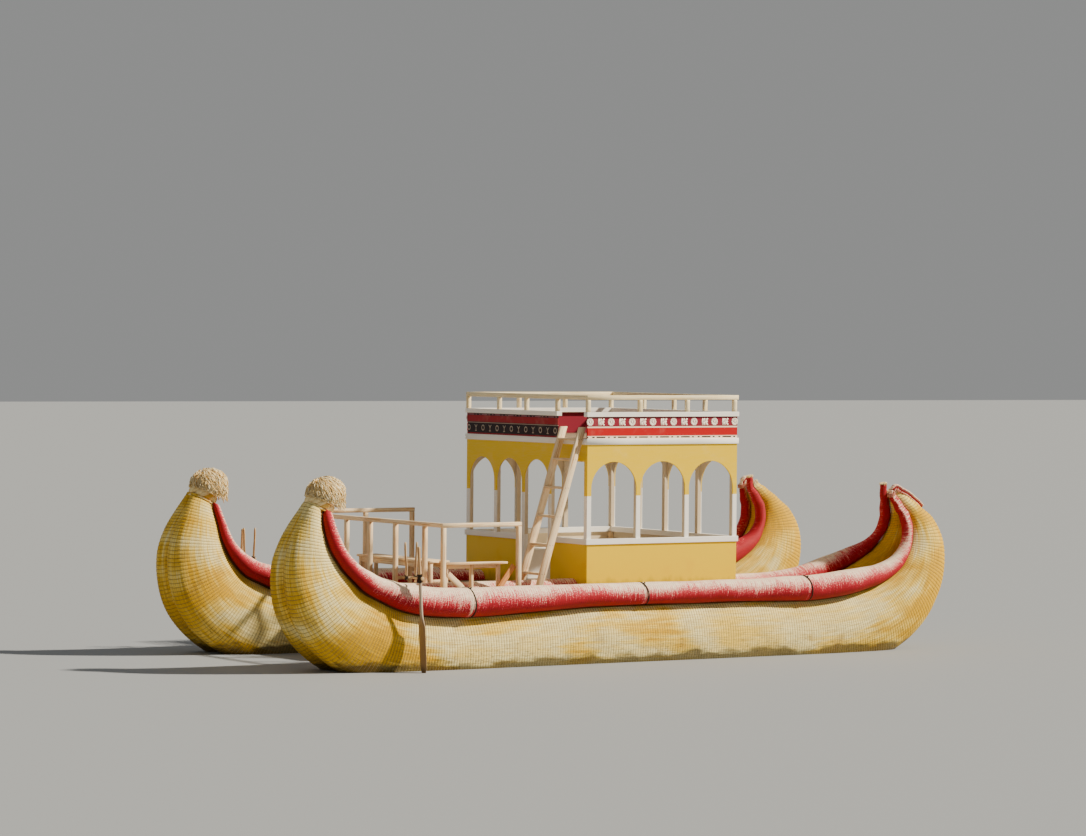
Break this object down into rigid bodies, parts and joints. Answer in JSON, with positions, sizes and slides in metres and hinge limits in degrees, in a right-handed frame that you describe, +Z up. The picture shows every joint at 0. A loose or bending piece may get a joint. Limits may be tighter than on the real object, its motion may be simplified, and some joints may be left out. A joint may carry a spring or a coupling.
{
  "type": "reed boat",
  "caption": "Catamaran reed boat with upswept bows and sterns, red gunwale rolls, a yellow cabin with arched windows, a railed roof deck, a ladder, deck benches and oars.",
  "frame": {"origin": "on the centreline at the waterline, at mid length of the port hull", "axes": "+X to the bow, +Y to port, +Z up"},
  "size_m": [11.1778, 5.3466, 4.092],
  "materials": {
    "reed": "dried reeds laid side by side and bound tight with thin cord",
    "red_reed": "reed roll wound with dyed cord, worn pale on top",
    "reed_head": "reeds bent back and cut off, shaggy",
    "deck_boards": "bare boards worn by feet",
    "beams": "rough sawn",
    "yellow_paint": "board painted with yellow enamel",
    "arcade_paint": "board painted yellow above and white on the posts",
    "white_paint": "timber painted off-white",
    "frieze_paint": "board painted dark red with a traditional ornament band",
    "rail_wood": "planed rail, pale paint worn thin",
    "bare_wood": "planed, weathered",
    "oar_wood": "smooth from hands, darker on the wet blade",
    "peg_wood": "peeled stick"
  },
  "bodies": {
    "root": {"port_outer_bundle": "reed", "port_inner_bundle": "reed", "port_outer_gunwale_roll": "red_reed", "port_inner_gunwale_roll": "red_reed", "port_bow_band": "reed", "port_bow_head": "reed_head", "port_stern_curl": "red_reed", "port_side_deck": "deck_boards", "port_wall_panel": "yellow_paint", "port_sill": "white_paint", "port_arcade": "arcade_paint", "port_cabin_bench": "white_paint", "port_parapet": "frieze_paint", "port_deck_rail": "bare_wood", "port_thole": "peg_wood", "starboard_outer_bundle": "reed", "starboard_inner_bundle": "reed", "starboard_outer_gunwale_roll": "red_reed", "starboard_inner_gunwale_roll": "red_reed", "starboard_bow_band": "reed", "starboard_bow_head": "reed_head", "starboard_stern_curl": "red_reed", "starboard_side_deck": "deck_boards", "starboard_wall_panel": "yellow_paint", "starboard_sill": "white_paint", "starboard_arcade": "arcade_paint", "starboard_cabin_bench": "white_paint", "starboard_parapet": "frieze_paint", "starboard_deck_rail": "bare_wood", "starboard_thole": "peg_wood", "cross_beams": "beams", "fore_deck": "deck_boards", "cabin_floor": "deck_boards", "front_starboard_panel": "yellow_paint", "front_port_panel": "yellow_paint", "aft_wall_panel": "yellow_paint", "doorway_jambs": "white_paint", "front_sills": "white_paint", "aft_sill": "white_paint", "front_arcade": "arcade_paint", "aft_arcade": "arcade_paint", "corner_posts": "bare_wood", "roof": "white_paint", "front_parapet": "frieze_paint", "aft_parapet": "frieze_paint", "parapet_cap": "white_paint", "roof_rail": "rail_wood", "ladder": "bare_wood", "front_deck_rail": "bare_wood", "front_bench": "bare_wood", "side_bench": "bare_wood"},
    "port_oar": {"port_oar": "oar_wood"},
    "starboard_oar": {"starboard_oar": "oar_wood"}
  },
  "joints": [
    {"name": "port_oar_stroke", "type": "hinge", "parent": "root", "child": "port_oar", "pos_m": [3.86, 2.482, 1.274], "axis": [0, 1, 0], "range_deg": [-35, 35]},
    {"name": "starboard_oar_stroke", "type": "hinge", "parent": "root", "child": "starboard_oar", "pos_m": [3.925, -2.482, 1.306], "axis": [0, 1, 0], "range_deg": [-35, 35]}
  ]
}
